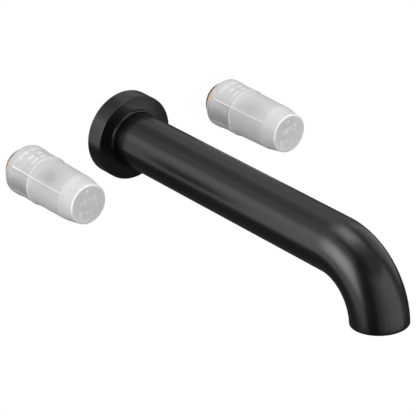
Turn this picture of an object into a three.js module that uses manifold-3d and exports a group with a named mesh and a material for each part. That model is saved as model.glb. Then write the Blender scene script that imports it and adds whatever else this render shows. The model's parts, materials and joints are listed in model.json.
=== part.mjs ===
// Wall mounted bath faucet, supplied less handles: a long bent spout with its escutcheon, and a hot
// and a cold quarter-turn valve, each under a translucent plaster guard (the cap).
//
// Millimetres, +Z up. The origin is where the spout's axis meets the wall plane, +X is to the right
// of a person facing the wall and -Y points out of the wall. A length called "out" is a distance out
// of the wall plane along -Y, and profiles are lists of [radius, out].

import * as THREE from 'three';
import { mergeVertices } from 'three/addons/utils/BufferGeometryUtils.js';
import Module from 'manifold-3d';

const wasm = await Module();
wasm.setup();

// Driving dimensions

const VALVE_SPREAD = 152.4; // hot axis to cold axis, 6 in
const GAP = 0.3; // between pieces that are assembled together

const SPOUT = {
  radius: 16.95,
  wall: 2,
  rear: 0.6, // out, where the tube starts
  straight: 193.4, // out, where the elbow starts
  bendRadius: 36.4, // of the centreline
  bend: THREE.MathUtils.degToRad(86),
};
const BORE = SPOUT.radius - SPOUT.wall;
const ESCUTCHEON = { radius: 26.6, rear: 0.2, face: 11.7, edge: 0.7, wall: 2.4, front: 2.8, bore: 17.15 };
const LIP = { radius: 17.75, top: 17.45, front: 13.2 }; // raised ring around the spout
const COLLAR = { radius: 20.5, rear: 3.5, groove: 19.3, grooveFrom: 5.4, grooveTo: 7.8 }; // behind the face
const GASKET = { inner: 19.4, outer: 23.8, thick: 2.6 };
const HUB = { radius: 14.6, bore: 11.6, rear: 1, front: 30 };
const NIPPLE = { radius: 11.2, bore: 7, rear: -15.5, front: 26, groove: 8.9, halfGroove: 1.5 };
const THREAD = { depth: 0.9, pitch: 4, front: -3.5 }; // a coarse stand-in for the nipple's pipe thread
const NIPPLE_SEALS = [13, 19.5]; // out, the middles of its two O-rings
const SET_SCREW = { radius: 2.4, hole: 2.8, out: 5, from: 10.9, to: 16.3, socket: 1.25 };
const SCREW_SEAT = { depth: 0.7, halfFlat: 3, halfMouth: 3.4 }; // the shallow groove that the screw bears on

// The outlet's pieces, with their depths inside the mouth
const MOUTH_RING = { from: 0.8, shoulder: 13.6, to: 16, bore: 11.2, throat: 9 };
const AERATOR = { radius: 10.8, bore: 9.6, front: 5.2, rear: 12.2, lip: 8.6 };
const HONEYCOMB = { from: 6.5, to: 7.9, pitch: 3.5, cell: 1.5, rows: 2 };
const SCREEN = { from: 8.2, to: 8.8, hole: 1.2, rings: [[6, 3.2], [11, 6.9]] }; // rings of [count, radius]
const REGULATOR = { from: 9.1, to: 11.6, hole: 1.3, rings: [[8, 6]] };
const OUTLET_SEAL = { from: 12.5, to: 13.3 };

const CAP = { rear: 6.5, front: 66.8, wall: 1.3, endWall: 2, edge: 0.8 };
const CAP_SHAPE = {
  rim: { radius: 15.4, front: 10.8 },
  waist: { radius: 14.7, out: 20 },
  band: { radius: 14.95, rear: 21, front: 27.6 },
  body: { rear: 14.35, from: 31.5, front: 14, to: 55.5 },
  nose: { radius: 13.25, out: 60 },
  end: 12.35,
};
const CAP_SOCKET = { radius: 6.4, rear: 48, clearance: 0.4 };
const BARREL = {
  radius: 12.25, rear: 10.75, taper: 2, cavity: 10, floor: 3, front: 24, port: 4.5, edge: 0.5,
};
const BARREL_PORTS = { count: 4, radius: 1.4, reach: 7.9 };
const GRIP_GROOVE = { from: 13.6, to: 16.6, radius: 11.2 };
const GRIP_RING = 13.35; // its outer radius
const CARTRIDGE = {
  lower: 8.4, shoulder: 9.5, shoulderFrom: 16, neck: 7, rear: 5.1, chamber: 11.5, front: 34, bore: 4.9,
};
const WINDOW = { out: 9, width: 3, height: 6 }; // where water leaves the cartridge, on both sides
const DISC = { radius: 6.8, thick: 2, hole: 1.9, holeAt: 3.6 };
const FIXED_DISC = 5.1; // out, its rear face
const MOVING_DISC = FIXED_DISC + DISC.thick + GAP;
const DRIVE = { width: 2.2, slot: 2.9, length: 9, from: 8.9 }; // the stem's tang in the moving disc
const STEM = { radius: 4.4, foot: 6.5, front: 60, splined: 46, root: 3.8, tip: 4.3, teeth: 12 };
const STEM_SEALS = [15, 20];
const STEM_GROOVE = { radius: 3, half: 1.1 };
const STEM_SCREW = { radius: 1.5, depth: 12 };
const CIRCLIP = { from: 34.6, to: 35.3, inner: 3.6, outer: 6, mouth: 0.35, groove: 3.4, play: 0.25 };
const NUT = { flats: 21, bore: 7.4, skirt: 9.5, rear: 20.3, hex: 24.3, front: 31.3 };

// Materials

const paint = (color, roughness, metalness, extra = {}) =>
  new THREE.MeshStandardMaterial({ color, roughness, metalness, ...extra });
const BLACK = paint(0x252627, 0.42, 0.3);
const BRASS = paint(0xa8813c, 0.35, 1);
const FROSTED = paint(0xdfe1e1, 0.35, 0, { transparent: true, opacity: 0.75 });
const RUBBER = paint(0x1b1b1c, 0.8, 0);
const FOAM = paint(0x3a3a3c, 0.95, 0);
const CERAMIC = paint(0xeceae4, 0.25, 0);
const STEEL = paint(0xb9bcbf, 0.3, 1);
const AERATOR_PLASTIC = paint(0x8f9498, 0.5, 0);

// Geometry helpers

function toSolid(geometry) {
  const bare = geometry.clone();
  bare.deleteAttribute('normal');
  bare.deleteAttribute('uv');
  const merged = mergeVertices(bare, 1e-4);
  const triangles = [];
  for (let i = 0; i < merged.index.count; i += 3) {
    const [a, b, c] = [0, 1, 2].map((corner) => merged.index.getX(i + corner));
    if (a !== b && b !== c && c !== a) triangles.push(a, b, c);
  }
  return new wasm.Manifold(new wasm.Mesh({
    numProp: 3,
    vertProperties: merged.attributes.position.array,
    triVerts: new Uint32Array(triangles),
  }));
}

function fromSolid(solid) {
  const mesh = solid.getMesh();
  const geometry = new THREE.BufferGeometry();
  geometry.setAttribute('position', new THREE.BufferAttribute(mesh.vertProperties, 3));
  geometry.setIndex(new THREE.BufferAttribute(mesh.triVerts, 1));
  geometry.computeVertexNormals();
  return geometry;
}

const cut = (body, ...tools) =>
  fromSolid(tools.reduce((solid, tool) => solid.subtract(toSolid(tool)), toSolid(body)));
const join = (body, ...others) =>
  fromSolid(others.reduce((solid, other) => solid.add(toSolid(other)), toSolid(body)));

// A piece turned about the Y axis, from a profile of [radius, out] that closes on itself or starts
// and ends on the axis.
function turned(profile, sides) {
  const points = profile.map(([radius, out]) => new THREE.Vector2(radius, -out));
  if (points[0].x > 0) points.push(points[0].clone());
  if (THREE.ShapeUtils.area(points) < 0) points.reverse();
  return new THREE.LatheGeometry(points, sides);
}

const washer = (inner, outer, from, to, sides) =>
  turned([[inner, from], [outer, from], [outer, to], [inner, to]], sides);

// An O-ring about the Y axis that reaches from one radius to another.
function oRing(inner, outer, out, sides) {
  const section = (outer - inner) / 2;
  const ring = new THREE.TorusGeometry(inner + section, section, 6, sides);
  return ring.rotateX(Math.PI / 2).translate(0, -out, 0);
}

// A flat outline pushed out of the wall, with the outline's own Y standing up along +Z.
function extruded(shape, from, to) {
  const slab = new THREE.ExtrudeGeometry(shape, { depth: to - from, bevelEnabled: false, curveSegments: 10 });
  return slab.rotateX(Math.PI / 2).translate(0, -from, 0);
}

function polygon(radius, corners, x = 0, y = 0, inner = radius) {
  const points = [];
  for (let i = 0; i < corners; i += 1) {
    const angle = (i * 2 * Math.PI) / corners;
    const reach = i % 2 ? inner : radius;
    points.push(new THREE.Vector2(x + reach * Math.cos(angle), y + reach * Math.sin(angle)));
  }
  return points;
}

const prism = (radius, corners, from, to, x = 0, y = 0) =>
  extruded(new THREE.Shape(polygon(radius, corners, x, y)), from, to);
const splines = (root, tip, from, to) =>
  extruded(new THREE.Shape(polygon(tip, STEM.teeth * 2, 0, 0, root)), from, to);

function box(width, out, height, middleOut) {
  return new THREE.BoxGeometry(width, out, height).translate(0, -middleOut, 0);
}

// The spout's centreline, given by the lengths along it where a section stands.
const ELBOW_LENGTH = SPOUT.bendRadius * SPOUT.bend;
const SPOUT_LENGTH = SPOUT.straight + ELBOW_LENGTH;
const bendAt = (length) => Math.max(0, length - SPOUT.straight) / SPOUT.bendRadius;

class SpoutRun extends THREE.Curve {
  constructor(stations) {
    super();
    this.stations = stations;
  }

  lengthAt(u) {
    return this.stations[Math.round(u * (this.stations.length - 1))];
  }

  getPointAt(u) {
    const length = this.lengthAt(u);
    const bend = bendAt(length);
    const out = Math.min(length, SPOUT.straight) + SPOUT.bendRadius * Math.sin(bend);
    return new THREE.Vector3(0, -out, -SPOUT.bendRadius * (1 - Math.cos(bend)));
  }

  getTangentAt(u) {
    const bend = bendAt(this.lengthAt(u));
    return new THREE.Vector3(0, -Math.cos(bend), -Math.sin(bend));
  }
}

function alongSpout(radius, bore, stations, sides) {
  const section = new THREE.Shape(polygon(radius, sides));
  if (bore > 0) section.holes.push(new THREE.Path(polygon(bore, sides).reverse()));
  const extrudePath = new SpoutRun(stations);
  return new THREE.ExtrudeGeometry(section, { steps: stations.length - 1, extrudePath });
}

const faucet = new THREE.Group();

function place(parent, name, geometry, material) {
  const mesh = new THREE.Mesh(geometry, material.clone());
  mesh.name = name;
  parent.add(mesh);
}

// Spout

const SPOUT_SIDES = 30;
const ELBOW_STEPS = 10;

function radialHole(radius, from, to) {
  return new THREE.CylinderGeometry(radius, radius, to - from, 16)
    .rotateX(Math.PI / 2)
    .translate(0, -SET_SCREW.out, -(from + to) / 2);
}

// The spout is a straight tube and an elbow of the same section, joined face to face.
function spoutTube() {
  const tube = alongSpout(SPOUT.radius, BORE, [SPOUT.rear, SPOUT.straight], SPOUT_SIDES);
  return cut(tube, radialHole(SET_SCREW.hole, HUB.radius, SPOUT.radius + 1));
}

function spoutElbow() {
  const stations = [];
  for (let i = 0; i <= ELBOW_STEPS; i += 1) {
    stations.push(SPOUT.straight + (ELBOW_LENGTH * i) / ELBOW_STEPS);
  }
  return alongSpout(SPOUT.radius, BORE, stations, SPOUT_SIDES);
}

function escutcheon() {
  const { radius, rear, face, edge, wall, front, bore } = ESCUTCHEON;
  const rounded = [0, 1, 2, 3].map((i) => {
    const angle = (i * Math.PI) / 6;
    return [radius - edge + edge * Math.cos(angle), face - edge + edge * Math.sin(angle)];
  });
  return turned([
    [radius - wall, rear],
    [radius, rear],
    ...rounded,
    [LIP.radius, face],
    [LIP.top, LIP.front],
    [bore, LIP.front],
    [bore, COLLAR.grooveTo],
    [COLLAR.groove, COLLAR.grooveTo],
    [COLLAR.groove, COLLAR.grooveFrom],
    [bore, COLLAR.grooveFrom],
    [bore, COLLAR.rear],
    [COLLAR.radius, COLLAR.rear],
    [COLLAR.radius, face - front],
    [radius - wall, face - front],
  ], 32);
}

function spoutHub() {
  const bush = washer(HUB.bore, HUB.radius, HUB.rear, HUB.front, 28);
  return cut(bush, radialHole(SET_SCREW.hole, HUB.bore - 2, HUB.radius + 1));
}

function spoutNipple() {
  const { radius, bore, rear, front, groove, halfGroove } = NIPPLE;
  const crest = THREAD.pitch / 2;
  const thread = [];
  for (let out = rear + crest; out < THREAD.front; out += THREAD.pitch) {
    thread.push([radius - THREAD.depth, out], [radius, out + crest]);
  }
  const seals = NIPPLE_SEALS.flatMap((middle) => [
    [radius, middle - halfGroove],
    [groove, middle - halfGroove],
    [groove, middle + halfGroove],
    [radius, middle + halfGroove],
  ]);
  const screwSeat = [
    [radius, SET_SCREW.out - SCREW_SEAT.halfMouth],
    [radius - SCREW_SEAT.depth, SET_SCREW.out - SCREW_SEAT.halfFlat],
    [radius - SCREW_SEAT.depth, SET_SCREW.out + SCREW_SEAT.halfFlat],
    [radius, SET_SCREW.out + SCREW_SEAT.halfMouth],
  ];
  return turned([
    [bore, rear],
    [radius - THREAD.depth, rear],
    ...thread,
    ...screwSeat,
    ...seals,
    [radius, front - 1],
    [radius - 1, front],
    [bore, front],
  ], 20);
}

function setScrew() {
  const length = SET_SCREW.to - SET_SCREW.from;
  const middle = (SET_SCREW.from + SET_SCREW.to) / 2;
  const shank = new THREE.CylinderGeometry(SET_SCREW.radius, SET_SCREW.radius, length, 16);
  const socket = new THREE.CylinderGeometry(SET_SCREW.socket, SET_SCREW.socket, length / 2, 6);
  socket.translate(0, length / 2, 0);
  return cut(shank, socket)
    .rotateX(-Math.PI / 2)
    .translate(0, -SET_SCREW.out, -middle);
}

function buildSpout() {
  const spout = new THREE.Group();
  place(spout, 'spout_tube', spoutTube(), BLACK);
  place(spout, 'spout_elbow', spoutElbow(), BLACK);
  place(spout, 'escutcheon', escutcheon(), BLACK);
  place(spout, 'escutcheon_gasket', washer(GASKET.inner, GASKET.outer, 0, GASKET.thick, 28), FOAM);
  const grip = (COLLAR.grooveFrom + COLLAR.grooveTo) / 2;
  place(spout, 'escutcheon_o_ring', oRing(ESCUTCHEON.bore + 0.1, COLLAR.groove - 0.2, grip, 28), RUBBER);
  place(spout, 'spout_hub', spoutHub(), BRASS);
  place(spout, 'spout_nipple', spoutNipple(), BRASS);
  ['rear', 'front'].forEach((end, i) => {
    const ring = oRing(NIPPLE.groove + 0.2, HUB.bore - GAP, NIPPLE_SEALS[i], 20);
    place(spout, `nipple_o_ring_${end}`, ring, RUBBER);
  });
  place(spout, 'spout_set_screw', setScrew(), STEEL);
  return spout;
}

// Outlet: its pieces stack up the spout's end, each from its depth inside the mouth

function mouthRing() {
  const { from, to } = MOUTH_RING;
  const stations = [0, 1, 2, 3, 4].map((i) => SPOUT_LENGTH - to + ((to - from) * i) / 4);
  return alongSpout(BORE - GAP, 0, stations, SPOUT_SIDES);
}

const depth = (from, to, inner, outer, sides) => washer(inner, outer, -to, -from, sides);

function honeycomb() {
  const { from, to, pitch, cell, rows } = HONEYCOMB;
  const plate = new THREE.Shape(polygon(AERATOR.bore - GAP, 24));
  for (let row = -rows; row <= rows; row += 1) {
    const count = 2 * rows + 1 - Math.abs(row);
    for (let i = 0; i < count; i += 1) {
      const x = (i - (count - 1) / 2) * pitch;
      const y = row * pitch * Math.sin(Math.PI / 3);
      plate.holes.push(new THREE.Path(polygon(cell, 6, x, y).reverse()));
    }
  }
  return extruded(plate, -to, -from);
}

function roundHoles({ from, to, hole, rings }) {
  const plate = new THREE.Shape(polygon(AERATOR.bore - GAP, 24));
  rings.forEach(([count, radius]) => {
    for (let i = 0; i < count; i += 1) {
      const angle = (i * 2 * Math.PI) / count;
      const outline = polygon(hole, 6, radius * Math.cos(angle), radius * Math.sin(angle));
      plate.holes.push(new THREE.Path(outline.reverse()));
    }
  });
  return extruded(plate, -to, -from);
}

function aeratorHousing() {
  const { radius, bore, front, rear, lip } = AERATOR;
  return turned([
    [lip, -front],
    [radius, -front],
    [radius, -rear],
    [bore, -rear],
    [bore, -front - 1],
    [lip, -front - 1],
  ], 28);
}

function buildOutlet() {
  const outlet = new THREE.Group();
  const end = new SpoutRun([SPOUT_LENGTH]).getPointAt(0);
  outlet.position.copy(end);
  outlet.rotation.x = SPOUT.bend;
  const seal = depth(OUTLET_SEAL.from, OUTLET_SEAL.to, MOUTH_RING.throat, AERATOR.radius, 24);
  place(outlet, 'aerator_housing', aeratorHousing(), AERATOR_PLASTIC);
  place(outlet, 'aerator_honeycomb', honeycomb(), AERATOR_PLASTIC);
  place(outlet, 'aerator_screen', roundHoles(SCREEN), STEEL);
  place(outlet, 'flow_regulator', roundHoles(REGULATOR), AERATOR_PLASTIC);
  place(outlet, 'aerator_washer', seal, RUBBER);
  return outlet;
}

// The mouth ring follows the elbow outside and is bored straight inside.
function outletRing(outlet) {
  outlet.updateMatrix();
  const bore = depth(0, MOUTH_RING.shoulder, 0, MOUTH_RING.bore, 32);
  const throat = depth(0, MOUTH_RING.to + 2, 0, MOUTH_RING.throat, 32);
  return cut(mouthRing(), bore.applyMatrix4(outlet.matrix), throat.applyMatrix4(outlet.matrix));
}

// Valves

function valveBarrel() {
  const { radius, rear, taper, cavity, floor, front, port, edge } = BARREL;
  const body = turned([
    [port, 0],
    [rear, 0],
    [radius, taper],
    [radius, GRIP_GROOVE.from],
    [GRIP_GROOVE.radius, GRIP_GROOVE.from],
    [GRIP_GROOVE.radius, GRIP_GROOVE.to],
    [radius, GRIP_GROOVE.to],
    [radius, front - edge],
    [radius - edge, front],
    [cavity, front],
    [cavity, floor],
    [port, floor],
  ], 20);
  const ports = Array.from({ length: BARREL_PORTS.count }, (_, i) => {
    const angle = (i * 2 * Math.PI) / BARREL_PORTS.count;
    const x = BARREL_PORTS.reach * Math.cos(angle);
    const y = BARREL_PORTS.reach * Math.sin(angle);
    return prism(BARREL_PORTS.radius, 6, -1, floor + 1, x, y);
  });
  return cut(body, ...ports);
}

function cartridgeBody() {
  const { lower, shoulder, shoulderFrom, neck, rear, chamber, front, bore } = CARTRIDGE;
  const body = turned([
    [DISC.radius + GAP, rear],
    [lower, rear],
    [lower, shoulderFrom],
    [shoulder, shoulderFrom],
    [shoulder, NUT.rear - GAP],
    [neck, NUT.rear - GAP],
    [neck, front],
    [bore, front],
    [bore, chamber],
    [DISC.radius + GAP, chamber],
  ], 20);
  return cut(body, box(4 * lower, WINDOW.width, WINDOW.height, WINDOW.out));
}

function disc(from, turn) {
  const plate = new THREE.Shape(polygon(DISC.radius, 20));
  [0, Math.PI].forEach((angle) => {
    const x = DISC.holeAt * Math.cos(angle + turn);
    const y = DISC.holeAt * Math.sin(angle + turn);
    plate.holes.push(new THREE.Path(polygon(DISC.hole, 8, x, y).reverse()));
  });
  return extruded(plate, from, from + DISC.thick);
}

function movingDisc() {
  const slot = box(DRIVE.length + 1, 1, DRIVE.slot, DRIVE.from + 0.2);
  return cut(disc(MOVING_DISC, Math.PI / 2), slot);
}

function stem() {
  const { radius, foot, front, splined, root, tip } = STEM;
  const footRear = MOVING_DISC + DISC.thick + GAP;
  const seals = STEM_SEALS.flatMap((middle) => [
    [radius, middle - STEM_GROOVE.half],
    [STEM_GROOVE.radius, middle - STEM_GROOVE.half],
    [STEM_GROOVE.radius, middle + STEM_GROOVE.half],
    [radius, middle + STEM_GROOVE.half],
  ]);
  const shaft = turned([
    [0, footRear],
    [foot, footRear],
    [foot, CARTRIDGE.chamber - GAP],
    [radius, CARTRIDGE.chamber - GAP],
    ...seals,
    [radius, CIRCLIP.from - CIRCLIP.play],
    [CIRCLIP.groove, CIRCLIP.from - CIRCLIP.play],
    [CIRCLIP.groove, CIRCLIP.to + CIRCLIP.play],
    [radius, CIRCLIP.to + CIRCLIP.play],
    [radius, splined],
    [0, splined],
  ], 16);
  const tang = box(DRIVE.length, 1.4, DRIVE.width, DRIVE.from + 0.7);
  const whole = join(shaft, splines(root, tip, splined - 1, front), tang);
  return cut(whole, prism(STEM_SCREW.radius, 8, front - STEM_SCREW.depth, front + 1));
}

function circlip() {
  const { from, to, inner, outer, mouth } = CIRCLIP;
  const outline = new THREE.Shape();
  outline.absarc(0, 0, outer, mouth, 2 * Math.PI - mouth, false);
  outline.absarc(0, 0, inner, 2 * Math.PI - mouth, mouth, true);
  return extruded(outline, from, to);
}

function bonnetNut() {
  const { flats, bore, skirt, rear, hex, front } = NUT;
  const corner = flats / 2 / Math.cos(Math.PI / 6);
  const body = join(prism(corner, 6, hex, front), washer(bore - 1, skirt, rear, hex + 1, 20));
  return cut(body, prism(bore, 20, rear - 1, front + 1));
}

// The guard: a flared rear rim, a slightly raised band, a long taper and a shorter nose.
function cap() {
  const { rear, front, wall, endWall, edge } = CAP;
  const { rim, waist, band, body, nose, end } = CAP_SHAPE;
  const inside = front - endWall;
  const shell = turned([
    [rim.radius, rear],
    [rim.radius, rim.front],
    [waist.radius, waist.out],
    [band.radius, band.rear],
    [band.radius, band.front],
    [body.rear, body.from],
    [body.front, body.to],
    [nose.radius, nose.out],
    [end, front - edge],
    [end - edge, front],
    [0, front],
    [0, inside],
    [end - wall, inside],
    [body.front - wall, body.to],
    [body.rear - wall, body.from],
    [band.radius - wall, band.front],
    [band.radius - wall, rear],
  ], 28);
  const root = inside + GAP; // the socket grows out of the end wall
  const { radius, clearance } = CAP_SOCKET;
  const socket = new THREE.CylinderGeometry(radius, radius, root - CAP_SOCKET.rear, 16);
  socket.translate(0, -(root + CAP_SOCKET.rear) / 2, 0);
  const hole = splines(STEM.root + clearance, STEM.tip + clearance, CAP_SOCKET.rear - 1, inside);
  return cut(join(shell, socket), hole);
}

function buildValve(side) {
  const valve = new THREE.Group();
  const put = (name, geometry, material) => place(valve, `${side}_${name}`, geometry, material);
  put('valve_barrel', valveBarrel(), BRASS);
  put('seat_seal', washer(BARREL.port + 0.4, 6.2, BARREL.floor + GAP, FIXED_DISC - GAP, 16), RUBBER);
  put('disc_fixed', disc(FIXED_DISC, 0), CERAMIC);
  put('disc_moving', movingDisc(), CERAMIC);
  put('cartridge_body', cartridgeBody(), BRASS);
  put('stem', stem(), BRASS);
  put('stem_o_ring_rear', oRing(3.15, CARTRIDGE.bore - 0.15, STEM_SEALS[0], 16), RUBBER);
  put('stem_o_ring_front', oRing(3.15, CARTRIDGE.bore - 0.15, STEM_SEALS[1], 16), RUBBER);
  put('circlip', circlip(), STEEL);
  put('bonnet_nut', bonnetNut(), BRASS);
  const gripOut = (GRIP_GROOVE.from + GRIP_GROOVE.to) / 2;
  put('cap_grip_ring', oRing(GRIP_GROOVE.radius + 0.2, GRIP_RING, gripOut, 20), RUBBER);
  put('cap', cap(), FROSTED);
  return valve;
}

faucet.add(buildSpout());
const outlet = buildOutlet();
faucet.add(outlet);
place(faucet, 'outlet_ring', outletRing(outlet), BRASS);
[['hot', -VALVE_SPREAD / 2], ['cold', VALVE_SPREAD / 2]].forEach(([side, x]) => {
  const valve = buildValve(side);
  valve.position.x = x;
  faucet.add(valve);
});

export default faucet;
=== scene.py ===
"""Looks of the wall mounted bath faucet: fine meshes, materials, studio light and the camera.

Lengths are in millimetres until they reach a mesh. The frame's +Z is up and -Y points out of the wall.
A length called "out" is a distance out of the wall plane, and profiles are lists of (radius, out).
"""

import json
import math

import bmesh
import bpy
from mathutils import Matrix, Vector


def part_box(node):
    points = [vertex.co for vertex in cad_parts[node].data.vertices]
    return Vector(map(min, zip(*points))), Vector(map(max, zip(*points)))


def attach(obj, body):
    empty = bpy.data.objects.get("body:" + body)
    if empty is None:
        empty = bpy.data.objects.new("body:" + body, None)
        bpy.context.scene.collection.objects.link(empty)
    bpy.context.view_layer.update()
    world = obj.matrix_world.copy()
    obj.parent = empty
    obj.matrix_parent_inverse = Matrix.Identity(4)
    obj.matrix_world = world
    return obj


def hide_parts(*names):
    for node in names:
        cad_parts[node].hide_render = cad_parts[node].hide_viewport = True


MM = 0.001
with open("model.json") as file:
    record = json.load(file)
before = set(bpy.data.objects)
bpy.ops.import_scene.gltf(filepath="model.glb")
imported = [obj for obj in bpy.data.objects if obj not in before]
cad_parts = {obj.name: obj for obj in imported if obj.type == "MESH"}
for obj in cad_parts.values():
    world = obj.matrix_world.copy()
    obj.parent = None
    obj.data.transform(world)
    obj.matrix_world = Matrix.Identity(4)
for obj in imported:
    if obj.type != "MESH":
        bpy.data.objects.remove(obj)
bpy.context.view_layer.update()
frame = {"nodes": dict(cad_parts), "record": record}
nodes = frame["nodes"]

# Driving sizes, read from the frame where its boxes show them, and otherwise the CAD model's own


def mid_x(node):
    """The middle of a node across the wall."""
    low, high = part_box(node)
    return (low.x + high.x) / 2 / MM


def radius_of(node):
    """The radius of a node that is round, from its width."""
    low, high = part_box(node)
    return (high.x - low.x) / 2 / MM


def out_range(node):
    """Where a node starts and ends, as distances out of the wall."""
    low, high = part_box(node)
    return -high.y / MM, -low.y / MM


def middle_out(node):
    """Half way between where a node starts and ends."""
    start, end = out_range(node)
    return (start + end) / 2


SIDES = ("hot", "cold")
VALVE_X = {side: mid_x(f"{side}_valve_barrel") for side in SIDES}
TUBE_RADIUS = radius_of("spout_tube")
TUBE_WALL = 2.0
BORE_RADIUS = TUBE_RADIUS - TUBE_WALL
TUBE_REAR = out_range("spout_tube")[0]
STRAIGHT = 193.4
BEND_RADIUS = 36.4
BEND = math.radians(86)
TUBE_LENGTH = STRAIGHT + BEND_RADIUS * BEND
FLANGE_RADIUS = radius_of("escutcheon")
FLANGE_FACE = 11.7
CAP_FRONT = out_range("hot_cap")[1]
BARREL_RADIUS = radius_of("hot_valve_barrel")
BARREL_FRONT = out_range("hot_valve_barrel")[1]

# Profiles

# Half of the angle at a corner that is too flat to be rounded
NEARLY_STRAIGHT = math.radians(86)
# How much of an edge the rounding of one of its corners may use
EDGE_SHARE = 0.45


def corner_arc(before, corner, after, radius, steps):
    """The corner of a profile as a curve that runs smoothly into both of its edges."""
    a, c, b = Vector(before), Vector(corner), Vector(after)
    to_a, to_b = (a - c), (b - c)
    half = to_a.angle(to_b) / 2
    if half > NEARLY_STRAIGHT:
        return [tuple(c)]
    reach = min(radius / math.tan(half), EDGE_SHARE * to_a.length, EDGE_SHARE * to_b.length)
    start, end = c + to_a.normalized() * reach, c + to_b.normalized() * reach
    arc = []
    for i in range(steps + 1):
        t = i / steps
        weight = (1 - t) ** 2, 2 * t * (1 - t), t * t
        arc.append(tuple(start * weight[0] + c * weight[1] + end * weight[2]))
    return arc


def soften(profile, radius, steps=4):
    """A profile with its corners rounded. One that starts and ends on the axis stays open there."""
    is_open = profile[0][0] == 0
    count = len(profile)
    softened = []
    for i, point in enumerate(profile):
        if is_open and i in (0, count - 1):
            softened.append(point)
            continue
        before, after = profile[i - 1], profile[(i + 1) % count]
        softened += corner_arc(before, point, after, radius, steps)
    return softened


def between(start, end, share):
    """The profile point at that share of the way from start to end."""
    return start[0] + (end[0] - start[0]) * share, start[1] + (end[1] - start[1]) * share


def subdivide(profile, longest):
    """The profile with more points, so that none of its stretches is longer than that."""
    is_open = profile[0][0] == 0
    fine = []
    for i, start in enumerate(profile):
        end = profile[(i + 1) % len(profile)]
        fine.append(start)
        if is_open and i == len(profile) - 1:
            break
        pieces = math.ceil(math.dist(start, end) / longest)
        for k in range(1, pieces):
            fine.append(between(start, end, k / pieces))
    return fine


def evenly(count):
    """That many angles round a circle."""
    return [2 * math.pi * i / count for i in range(count)]


# Meshes


def on_axis(x):
    """Places a profile point round an axis that stands out of the wall at x."""

    def place(radius, out, angle):
        return Vector((x + radius * math.sin(angle), -out, radius * math.cos(angle)))

    return place


def along_spout(radius, length, angle):
    """Places a profile point round the spout's bent centreline."""
    bend = max(0.0, length - STRAIGHT) / BEND_RADIUS
    out = min(length, STRAIGHT) + BEND_RADIUS * math.sin(bend)
    middle = Vector((0, -out, -BEND_RADIUS * (1 - math.cos(bend))))
    upward = Vector((0, -math.sin(bend), math.cos(bend)))
    return middle + Vector((1, 0, 0)) * radius * math.sin(angle) + upward * radius * math.cos(angle)


def at_mouth(radius, out, angle):
    """Places a profile point round the axis of the spout's mouth, where out is 0 at the mouth."""
    local = Vector((radius * math.sin(angle), -out, radius * math.cos(angle)))
    mouth = along_spout(0, TUBE_LENGTH, 0)
    return mouth + Matrix.Rotation(BEND, 3, "X") @ local


def finish_mesh(name, made, crease=38):
    """An object made of the bmesh, smooth but for edges that turn by more than the crease in degrees."""
    bmesh.ops.recalc_face_normals(made, faces=made.faces)
    mesh = bpy.data.meshes.new(name)
    made.to_mesh(mesh)
    made.free()
    piece = bpy.data.objects.new(name, mesh)
    bpy.context.scene.collection.objects.link(piece)
    mesh.shade_smooth()
    mesh.set_sharp_from_angle(angle=math.radians(crease))
    return piece


def revolved(name, profile, place, angles=None, shape=None, crease=38):
    """A closed mesh turned from a profile. shape(radius, out, angle) may change each point's radius
    and out before it is placed."""
    angles = angles or evenly(96)
    made = bmesh.new()
    rings = []
    for radius, out in profile:
        if radius == 0:
            rings.append([made.verts.new(place(0, out, 0) * MM)])
            continue
        ring = []
        for angle in angles:
            point = shape(radius, out, angle) if shape else (radius, out)
            ring.append(made.verts.new(place(point[0], point[1], angle) * MM))
        rings.append(ring)
    is_open = profile[0][0] == 0
    last = len(rings) - 1 if is_open else len(rings)
    for i in range(last):
        bridge(made, rings[i], rings[(i + 1) % len(rings)])
    return finish_mesh(name, made, crease)


def bridge(made, first, second):
    """Closes the strip between two loops of vertices. A loop of one vertex is a tip."""
    count = max(len(first), len(second))
    for k in range(count):
        following = (k + 1) % count
        corners = [first[k % len(first)], first[following % len(first)]]
        corners += [second[following % len(second)], second[k % len(second)]]
        made.faces.new(list(dict.fromkeys(corners)))


def cylinder(name, radius, start, end, sides=24, spin=0.0):
    """A plain closed cylinder between two points, used as a cutter."""
    start, end = Vector(start), Vector(end)
    turn = (end - start).to_track_quat("Z", "Y").to_matrix()
    made = bmesh.new()
    loops = []
    for centre in (start, end):
        ring = []
        for angle in evenly(sides):
            flat = Vector((radius * math.cos(angle + spin), radius * math.sin(angle + spin), 0))
            ring.append(made.verts.new((centre + turn @ flat) * MM))
        loops.append(ring)
    bridge(made, loops[0], loops[1])
    made.faces.new(loops[0])
    made.faces.new(loops[1])
    return finish_mesh(name, made)


def join(name, pieces):
    """One piece made of all of these, which are removed."""
    made = bmesh.new()
    for piece in pieces:
        made.from_mesh(piece.data)
        bpy.data.objects.remove(piece)
    return finish_mesh(name, made)


def drill(piece, cutter, crease=38):
    """Cuts the cutter out of the piece and removes it."""
    modifier = piece.modifiers.new("drill", "BOOLEAN")
    modifier.operation = "DIFFERENCE"
    modifier.solver = "EXACT"
    modifier.object = cutter
    graph = bpy.context.evaluated_depsgraph_get()
    mesh = bpy.data.meshes.new_from_object(piece.evaluated_get(graph))
    piece.modifiers.clear()
    piece.data = mesh
    mesh.shade_smooth()
    mesh.set_sharp_from_angle(angle=math.radians(crease))
    bpy.data.objects.remove(cutter)


# Materials


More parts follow.
